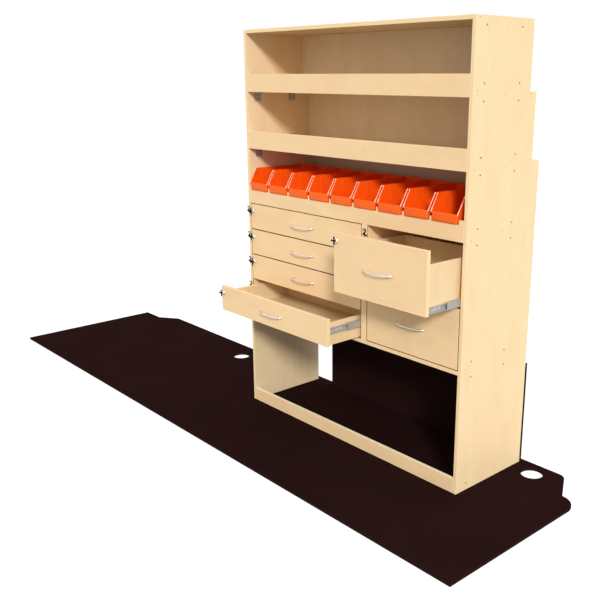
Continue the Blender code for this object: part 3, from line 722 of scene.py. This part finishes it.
def cross_head(radius, proud, deep):
    """A round screw head with a cross recess, looking along Z."""
    name = f"cross_head_{round(radius * 1e5)}_{round(proud * 1e6)}"
    if name in bpy.data.meshes:
        return bpy.data.meshes[name]
    bm = bmesh.new()
    bmesh.ops.create_grid(bm, x_segments=5, y_segments=5, size=1.0)
    for vert in bm.verts:
        ring = max(abs(vert.co.x), abs(vert.co.y))
        if ring < 0.8:
            vert.co = [part * 0.85 if abs(part) < 0.3 else part for part in vert.co]
        if ring > 0.3:
            vert.co = vert.co.normalized() * (0.60 if ring < 0.8 else 1.0)
        vert.co *= radius
        vert.co.z = proud * (1.0 - 0.35 * (vert.co.length / radius) ** 2)
    arms = []
    for face in bm.faces:
        near, far = sorted(abs(part) for part in face.calc_center_median().xy)
        if near < radius * 0.12 and far < radius * 0.55:
            arms.append(face)
    sunk = verts_in(bmesh.ops.extrude_face_region(bm, geom=arms))
    bmesh.ops.delete(bm, geom=arms, context="FACES_ONLY")
    bmesh.ops.translate(bm, vec=(0, 0, -deep), verts=sunk)
    rim = [edge for edge in bm.edges if edge.is_boundary]
    for vert in verts_in(bmesh.ops.extrude_edge_only(bm, edges=rim)):
        vert.co.z = -proud
    bmesh.ops.recalc_face_normals(bm, faces=bm.faces)
    return mesh_of(name, bm)


def tray_half(name):
    """Half the width of a drawer's tray without its channels."""
    return LEFT_TRAY if name in LEFT_DRAWERS else RIGHT_TRAY


class RACKING_OT_finish_carcass(bpy.types.Operator):
    """Veneer the boards of the rack, with steel on the fused channels"""

    bl_idname = "racking.finish_carcass"
    bl_label = "Finish the carcass"

    def execute(self, context):
        # Side panels, divider, drawer base and bin shelf get painted shade where they line the gaps
        for (side, label), seed, tone in zip(SIDES, (3.1, 7.7), (INNER_TONE, SIDE_TONE)):
            board(f"side_panel_{label}", "Z", "X", seed, tone, reveal=UPRIGHT_GAP,
                  planes=(side * BETWEEN, side * SIDE_FACE), steel=(0.0, BETWEEN - HAIR, False))
        board("divider", "Z", "X", 1.3, planes=(DIVIDER - BOARD, DIVIDER + BOARD),
              steel=(DIVIDER, BOARD + HAIR, True), reveal=UPRIGHT_GAP)
        # The top panel gets painted shade on its underside
        for index, node in enumerate(("top_panel", "shelf_upper", "shelf_middle", "drawer_base")):
            board(node, "X", "Z", 2.0 + index * 1.7, under=node == "top_panel",
                  reveal=LEVEL_GAP if node == "drawer_base" else None)
        # Lips and plinth get a painted highlight on their upward edges
        for index, node in enumerate(("lip_upper", "lip_middle", "plinth")):
            board(node, "X", "Y", 4.0 + index * 2.3, arris=sizes().lip_arris, worn_top=True)
        board("bin_shelf", "X", "Y", 9.1, planes=(0.0, BOARD), shortest=0.010,
              edge_before=BOARD + HAIR, reveal=LEVEL_GAP)
        for index, node in enumerate(BACK_PANELS):
            set_finish(node, finish(f"ply_{node}", ply_coat, grain="Z", thin="Y",
                                    seed=5.0 + index * 1.9, tone=BACK_TONE))
        return {"FINISHED"}


class RACKING_OT_finish_floor(bpy.types.Operator):
    """Film the floor lining and the wheel-arch lining"""

    bl_idname = "racking.finish_floor"
    bl_label = "Finish the floor lining"

    def execute(self, context):
        set_finish("floor_board", finish("floor_film", film_coat))
        return {"FINISHED"}


class RACKING_OT_finish_drawers(bpy.types.Operator):
    """Veneer the drawers and plate their slides"""

    bl_idname = "racking.finish_drawers"
    bl_label = "Finish the drawers"

    def execute(self, context):
        for index, name in enumerate(DRAWERS):
            # Each front gets painted shade on its edges where they line the gaps
            board(f"drawer_front_{name}", "X", "Y", 11.0 + index * 1.37,
                  trim=sizes().front_trim, reveal=LEVEL_GAP)
            low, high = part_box(f"drawer_tray_{name}")
            # The tray's inside, below its rim, gets painted shade
            board(f"drawer_tray_{name}", "Z", "Y", 23.0 + index * 1.61, TRAY_TONE,
                  across="Z", planes=(high.z,), rim=high.z - 0.0008,
                  steel=((low.x + high.x) / 2, tray_half(name) + HAIR, True))
            for end in "ab":
                # Slide channels in the darker zinc, a painted shade
                set_finish(f"slide_channel_{name}_{end}", plated("slide_steel_painted_shade"))
        return {"FINISHED"}


def bow(bm, foot):
    """The bow, a flat end on the drawer's face at each side and a slim bar between."""
    size = sizes()
    bar = size.handle_bar
    steps = 36
    path = []
    halves = []
    for index in range(steps + 1):
        turn = math.pi * index / steps
        across = math.copysign(abs(math.cos(turn)) ** 0.8, math.cos(turn))
        ahead = max(math.sin(turn), 0.0) ** 1.25
        path.append(foot - X * across * size.handle_half
                    - Y * (0.0008 + bar + ahead * size.handle_reach))
        halves.append((bar, bar + (1.0 - ahead) ** 2 * (size.handle_foot - bar)))
    for end in (0, steps):
        path[end] += Y * 0.0006
    swept(bm, path, Z, halves, 16)
    half = Vector((0.0035, 0.0, size.handle_foot * 0.8))
    for side in (-1, 1):
        at = foot + X * side * (size.handle_half - 0.0045)
        seat = box(bm, at - half - Y * 0.0030, at + half - Y * 0.0001)
        round_edges(bm, edges_of(seat), 0.0010)


class RACKING_OT_make_handles(bpy.types.Operator):
    """Bend a chrome bow handle for each drawer"""

    bl_idname = "racking.make_handles"
    bl_label = "Make the handles"

    def execute(self, context):
        for name in DRAWERS:
            low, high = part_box(f"drawer_handle_{name}")
            foot = (low + high) / 2 + X * sizes().handle_aside
            foot.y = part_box(f"drawer_front_{name}")[0].y
            bm = bmesh.new()
            bow(bm, foot)
            piece(f"handle_{name}", bm, [plated("satin_chrome")], f"drawer_{name}",
                  replaces=(f"drawer_handle_{name}",))
        return {"FINISHED"}


def arm(bm, axis, turn):
    """An arm of the thumb-turn with its round lobe."""
    reach = sizes().latch_arm
    before = set(bm.verts)
    bar = box(bm, (0.0, -0.0126, -0.0018), (reach, -0.0096, 0.0018))
    round_edges(bm, edges_of(bar), 0.0009)
    lobe = Matrix.Diagonal((0.0034, 0.0019, 0.0034, 1.0))
    bmesh.ops.create_uvsphere(bm, u_segments=16, v_segments=10, radius=1.0,
                              matrix=Matrix.Translation((reach, -0.0110, 0.0)) @ lobe)
    bmesh.ops.transform(bm, matrix=Matrix.Translation(axis) @ Matrix.Rotation(turn, 4, "Y"),
                        verts=[vert for vert in bm.verts if vert not in before])


class RACKING_OT_make_latches(bpy.types.Operator):
    """Turn a chrome boss and a black three-armed thumb-turn for each drawer"""

    bl_idname = "racking.make_latches"
    bl_label = "Make the latches"

    def execute(self, context):
        size = sizes()
        dome = [(part * size.latch_boss, ahead) for part, ahead in LATCH_DOME]
        for name in DRAWERS:
            low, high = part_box(f"drawer_front_{name}")
            axis = Vector((low.x + size.latch_in, low.y, high.z - size.latch_down))
            bm = bmesh.new()
            turned(bm, dome, axis, 32)
            piece(f"latch_boss_{name}", bm, [plated("satin_chrome")], f"latch_{name}")
            bm = bmesh.new()
            turned(bm, LATCH_HUB, axis, 28)
            turned(bm, LATCH_SHAFT, axis, 16)
            for turn in (90.0, 180.0, 270.0):
                arm(bm, axis, math.radians(turn))
            piece(f"latch_turn_{name}", bm, [black_nylon()], f"latch_{name}",
                  replaces=(f"drawer_latch_{name}",))
        return {"FINISHED"}


def keep(bm, centre):
    """A wire bent into an open hook above the two round bosses that hold it."""
    wire = sizes().keep_wire
    bosses = [centre + Vector(at) for at in ((-0.0035, 0.0, -0.0045), (0.0040, 0.0, -0.0095))]
    ahead = Vector((0.0, -0.0065, 0.0))
    bend = centre + ahead + Vector((0.0005, 0.0, 0.0060))
    steps = 16
    path = []
    for step in range(steps + 1):
        turn = math.radians(170.0 - 200.0 * step / steps)
        path.append(bend + Vector((math.cos(turn), 0.0, math.sin(turn))) * 0.0046)
    path += [place + ahead for place in bosses]
    swept(bm, path, Y, [(wire, wire)] * len(path), 10)
    for place in bosses:
        turned(bm, KEEP_BOSS, place, 16)


class RACKING_OT_make_keeps(bpy.types.Operator):
    """Screw a hooked keep beside each latch"""

    bl_idname = "racking.make_keeps"
    bl_label = "Make the keeps"

    def execute(self, context):
        for name in DRAWERS:
            edge = -BETWEEN - BOARD / 2 if name in LEFT_DRAWERS else DIVIDER + BOARD / 2
            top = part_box(f"drawer_front_{name}")[1].z
            bm = bmesh.new()
            keep(bm, Vector((edge, 0.0, top - sizes().latch_down + 0.004)))
            piece(f"keep_{name}", bm, [black_nylon()], "rack")
        return {"FINISHED"}


def shell(bm, low, high):
    """The tapered shell, open at the top and over the low front."""
    size = sizes()
    outer = X * size.bin_rim
    box(bm, low + outer, high - outer)
    lip = Vector((0.0, low.y, low.z + size.bin_lip))
    bmesh.ops.bisect_plane(bm, geom=bm.verts[:] + bm.edges[:] + bm.faces[:], dist=MERGE,
                           plane_co=lip, plane_no=(0.0, lip.z - high.z, size.bin_slope),
                           clear_outer=True)
    lid = [face for face in bm.faces if face.calc_center_median().z > high.z - 0.0001]
    bmesh.ops.delete(bm, geom=lid, context="FACES_ONLY")
    middle = (low + high) / 2
    for vert in bm.verts:
        if vert.co.z < low.z + 0.001:
            vert.co.x -= math.copysign(size.bin_taper, vert.co.x - middle.x)
    round_edges(bm, [edge for edge in bm.edges if not edge.is_boundary], size.bin_corner, 4)
    bmesh.ops.recalc_face_normals(bm, faces=bm.faces)
    if sum(face.normal.dot(face.calc_center_median() - middle) for face in bm.faces) < 0:
        bmesh.ops.reverse_faces(bm, faces=bm.faces)
    bmesh.ops.solidify(bm, geom=bm.faces[:], thickness=size.bin_wall)


def rim(bm, low, high, side, wall):
    """The rolled rim along a side wall, up the slope and back along the top."""
    size = sizes()
    before = set(bm.faces)
    inner = wall - side * size.bin_wall * 0.9
    outer = wall + side * size.bin_rim
    start = Vector((0.0, low.y + 0.0006, low.z + size.bin_lip + 0.0006))
    verts = [bm.verts.new(start + Vector((x, 0.0, z))) for x, z in
             ((inner, 0.0006), (outer, 0.0006), (outer, -0.0040), (inner, -0.0040))]
    ends = [bm.faces.new(verts)]
    for step in ((0.0, size.bin_slope, high.z - low.z - size.bin_lip - 0.0012),
                 (0.0, high.y - low.y - size.bin_slope - 0.0006, 0.0)):
        grown = bmesh.ops.extrude_face_region(bm, geom=ends)
        ends = [item for item in grown["geom"] if isinstance(item, bmesh.types.BMFace)]
        bmesh.ops.translate(bm, vec=step, verts=verts_in(grown))
    made = [face for face in bm.faces if face not in before]
    for face in made:
        face.material_index = 1
    bmesh.ops.recalc_face_normals(bm, faces=made)


def wall_panel(bm, low, high, side, wall):
    """The raised panel inside a side wall, leaning with the wall."""
    size = sizes()
    near = wall - side * (size.bin_wall - 0.0003)
    far = wall - side * (size.bin_wall + size.bin_panel)
    made = box(bm, (near, size.bin_panel_front, low.z + 0.007),
               (far, high.y - 0.030, high.z - 0.004))
    for vert in made:
        vert.co.x -= side * size.bin_taper * (high.z - vert.co.z) / (high.z - low.z)


def flange(bm, low, high, side, wall):
    """The flat flange that stands out along the top of a side wall."""
    size = sizes()
    front = low.y + size.bin_slope
    made = box(bm, (wall, front, high.z - 0.0022),
               (wall + side * size.bin_flange, high.y, high.z - 0.0001))
    lug = 0.0046
    for vert in made:
        if vert.co.y < front + 0.001 and vert.co.z < high.z - 0.001:
            vert.co.z = high.z - lug
            vert.co.y -= lug * size.bin_slope / (high.z - low.z - size.bin_lip)
    for face in faces_of(made):
        face.material_index = 1


def front_rim(bm, low, high):
    """The thickened edge along the top of the low front."""
    top = low.z + sizes().bin_lip
    aside = X * (sizes().bin_rim + 0.0003)
    made = box(bm, Vector((low.x, low.y - 0.0003, top - 0.0030)) + aside,
               Vector((high.x, low.y + 0.0026, top + 0.0008)) - aside)
    round_edges(bm, [edge for edge in edges_of(made)
                     if all(vert.co.y < low.y + 0.001 and vert.co.z > top
                            for vert in edge.verts)], 0.0013)


class RACKING_OT_make_bins(bpy.types.Operator):
    """Mould the nine picking bins with their rolled rims"""

    bl_idname = "racking.make_bins"
    bl_label = "Make the bins"

    def execute(self, context):
        size = sizes()
        tint = colours()
        # Both finishes paint light on the low front; the rim's also paints a highlight on the
        # slopes
        inner = finish("orange_plastic_shell", plastic_coat, tint=tint.orange,
                       front=tint.orange_painted_front_light)
        outer = finish("orange_plastic_rim", plastic_coat, tint=tint.orange,
                       pale=tint.orange_painted_highlight, front=tint.orange_painted_front_light, rough=(0.22, 0.32))
        for node in BINS:
            low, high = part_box(node)
            high.y = size.bin_back
            bm = bmesh.new()
            shell(bm, low, high)
            for side, wall in ((-1, low.x + size.bin_rim), (1, high.x - size.bin_rim)):
                for add in (rim, wall_panel, flange):
                    add(bm, low, high, side, wall)
            front_rim(bm, low, high)
            item = piece(f"picking_{node}", bm, [inner, outer], "rack",
                         replaces=(node,))
            ease = item.modifiers.new("ease", "BEVEL")
            ease.width = 0.0004
            ease.segments = 2
            ease.limit_method = "ANGLE"
            ease.angle_limit = math.radians(40.0)
        return {"FINISHED"}


def bracket(bm, side, depth, height, up):
    """One bracket: a leg on the side panel, a leg on the shelf and their screws."""
    size = sizes()
    steel = size.bracket_steel
    half = size.bracket_width / 2

    def at(out, along, rise):
        """A place, by its way from the side panel, the bracket's middle and the shelf."""
        return Vector((side * (BETWEEN - out), depth + along, height + up * rise))

    for out, rise in ((steel, size.bracket_leg), (size.bracket_leg, steel)):
        leg = box(bm, at(HAIR, half, 0.0003), at(out, -half, rise))
        ends = [edge for edge in edges_of(leg) if edge.calc_length() < steel
                and all((vert.co - at(0, 0, 0)).length > 0.02 for vert in edge.verts)]
        round_edges(bm, ends, 0.004, 3)
    head = cross_head(0.0030, 0.0007, 0.0009)
    for shift in (-0.0075, 0.0075):
        for reach in (0.0110, 0.0235):
            stamp(bm, head, at(steel, shift, reach), -X * side, 0.3, 1)
            stamp(bm, head, at(reach, shift, steel), Z * up, 0.3, 1)


class RACKING_OT_make_brackets(bpy.types.Operator):
    """Fold the angle brackets that join the shelves to the side panels"""

    bl_idname = "racking.make_brackets"
    bl_label = "Make the brackets"

    def execute(self, context):
        rows = [(corner.z, up) for node in ("shelf_upper", "shelf_middle", "drawer_base")
                for corner, up in zip(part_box(node), (-1, 1))]
        rows.pop()  # none stands on the drawer base
        for side, label in SIDES:
            bm = bmesh.new()
            for height, up in rows:
                for depth in (0.043, 0.1975):
                    bracket(bm, side, depth, height, up)
            piece(f"brackets_{label}", bm, [plated("zinc_sheet"), plated("zinc_heads")], "rack")
        return {"FINISHED"}


def back_screws():
    """Two rows of small screws in each back panel."""
    bm = bmesh.new()
    head = cross_head(0.0030, 0.0004, 0.0008)
    for low, high in map(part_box, BACK_PANELS):
        for column in range(8):
            x = low.x + 0.018 + (high.x - low.x - 0.036) * column / 7
            for z in (low.z + 0.010, high.z - 0.010):
                stamp(bm, head, (x, high.y, z), Y, x * 9)
    piece("back_screws", bm, [plated("yellow_screw")], "rack")


def drawer_screws(name):
    """Bright screws on a drawer's channels and on the inner face of its front."""
    low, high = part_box(f"drawer_tray_{name}")
    slide = 0.0495 if name in LEFT_DRAWERS else 0.0150
    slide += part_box(f"drawer_front_{name}")[0].z
    half = tray_half(name)
    middle = (low.x + high.x) / 2
    bm = bmesh.new()
    head = cross_head(0.0022, 0.0006, 0.0009)
    for side in (-1, 1):
        for y in (0.032, 0.050, 0.150, 0.262):
            at = (middle + side * (half + 0.0011), low.y + y, slide)
            stamp(bm, head, at, X * side, y * 30)
    for x in (-0.6, 0.6):
        for z in (0.35, 0.75):
            at = (middle + x * half, low.y + BOARD, low.z + (high.z - low.z) * z)
            stamp(bm, head, at, Y, x)
    piece(f"slide_screws_{name}", bm, [plated("bright_heads")], f"drawer_{name}")


class RACKING_OT_make_fixings(bpy.types.Operator):
    """Sink the bolts and screws of the side panels, the back panels and the slides"""

    bl_idname = "racking.make_fixings"
    bl_label = "Make the fixings"

    def execute(self, context):
        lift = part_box("side_panel_right")[0].z
        bolt = cross_head(sizes().bolt_head, 0.0003, 0.0009)
        screw = cross_head(sizes().screw_head, 0.0002, 0.0008)
        for side, label in SIDES:
            for kind, head, places, turn, look in (
                    ("bolts", bolt, BOLTS, 0, "dark_bolt"),
                    ("screws", screw, SCREWS, 1, "yellow_screw")):
                bm = bmesh.new()
                for place in places:
                    stamp(bm, head, (side * SIDE_FACE, place[0], lift + place[1]), X * side,
                          place[turn] * 40)
                piece(f"{kind}_{label}", bm, [plated(look)], "rack")
        back_screws()
        for name in DRAWERS:
            drawer_screws(name)
        return {"FINISHED"}


def lay_floor(stage):
    """A wide pale floor that keeps the rack's shadow."""
    bm = bmesh.new()
    bmesh.ops.create_grid(bm, x_segments=2, y_segments=2, size=30.0,
                          matrix=Matrix.Translation((0.0, 0.0, -0.0005)))
    item = placed("studio_floor", mesh_of("studio_floor", bm))
    material = finish("studio_floor", floor_coat)
    item.data.materials.append(material)
    make = Wiring(material.node_tree)
    nodes = material.node_tree.nodes
    glow = make.add("ShaderNodeEmission",
                    {"Strength": make.times(make.seen(), stage.floor_glow)})
    both = make.add("ShaderNodeAddShader",
                    {0: nodes["Principled BSDF"].outputs[0], 1: glow[0]})
    make.fill(nodes["Material Output"], {"Surface": both[0]})


def set_world(stage):
    """A plain sky that the camera and the metal see as white."""
    world = bpy.data.worlds.new("studio")
    world.use_nodes = True
    make = Wiring(world.node_tree)
    towards = make.add("ShaderNodeTexCoord")["Generated"]
    lean = make.vector("DOT_PRODUCT", towards, tuple(stage.sky_lean), "Value")
    sky = make.math("MAXIMUM", make.plus(lean, stage.sky_strength), 0.0)
    make.fill(world.node_tree.nodes["Background"],
              {"Color": rgba((1.0, 1.0, 1.0)), "Strength": make.blend(make.seen(), sky, 1.0)})
    bpy.context.scene.world = world


class RACKING_OT_set_stage(bpy.types.Operator):
    """Lay the studio floor, and set the camera and the light"""

    bl_idname = "racking.set_stage"
    bl_label = "Set the stage"

    def execute(self, context):
        stage = context.scene.racking_stage
        lay_floor(stage)
        set_world(stage)
        lamp = bpy.data.lights.new("key", "SUN")
        lamp.energy = stage.key_strength
        lamp.angle = stage.key_angle
        key = placed("key", lamp)
        key.rotation_euler = Vector(stage.key_towards).to_track_quat("Z", "Y").to_euler()
        lens = bpy.data.cameras.new("camera")
        lens.lens = stage.camera_lens
        lens.sensor_width = 36.0
        lens.shift_x = stage.shift_right
        lens.shift_y = stage.shift_up
        lens.clip_end = 100.0
        camera = placed("camera", lens)
        camera.location = stage.camera_place
        camera.rotation_euler = (math.pi / 2 - stage.camera_tilt, 0.0, stage.camera_turn)
        context.scene.camera = camera
        context.scene.view_settings.view_transform = "Standard"
        return {"FINISHED"}


STEPS = (RACKING_OT_finish_carcass, RACKING_OT_finish_floor, RACKING_OT_finish_drawers,
         RACKING_OT_make_handles, RACKING_OT_make_latches, RACKING_OT_make_keeps,
         RACKING_OT_make_bins, RACKING_OT_make_brackets, RACKING_OT_make_fixings,
         RACKING_OT_set_stage)
GROUPS = {"racking_sizes": RackingSizes, "racking_colours": RackingColours,
          "racking_stage": RackingStage}


class RACKING_PT_panel(bpy.types.Panel):
    """Steps and values of the racking dresser"""

    bl_idname = "RACKING_PT_panel"
    bl_label = "Van racking"
    bl_space_type = "VIEW_3D"
    bl_region_type = "UI"
    bl_category = "Racking"

    def draw(self, context):
        for step in STEPS:
            self.layout.operator(step.bl_idname)
        for group in [getattr(context.scene, label) for label in GROUPS]:
            column = self.layout.column(align=True)
            for label in group.bl_rna.properties.keys():
                if label not in ("rna_type", "name"):
                    column.prop(group, label)


def register():
    """Register the classes and hang the values on the scene."""
    for item in (*GROUPS.values(), *STEPS, RACKING_PT_panel):
        bpy.utils.register_class(item)
    for label, group in GROUPS.items():
        setattr(bpy.types.Scene, label, bpy.props.PointerProperty(type=group))


def unregister():
    """Take the values and the classes away again."""
    for label in GROUPS:
        delattr(bpy.types.Scene, label)
    for item in (RACKING_PT_panel, *reversed(STEPS), *GROUPS.values()):
        bpy.utils.unregister_class(item)


def main():
    """Register everything and run each step in order."""
    register()
    for step in STEPS:
        group, name = step.bl_idname.split(".")
        getattr(getattr(bpy.ops, group), name)()


if __name__ == "__main__":
    main()
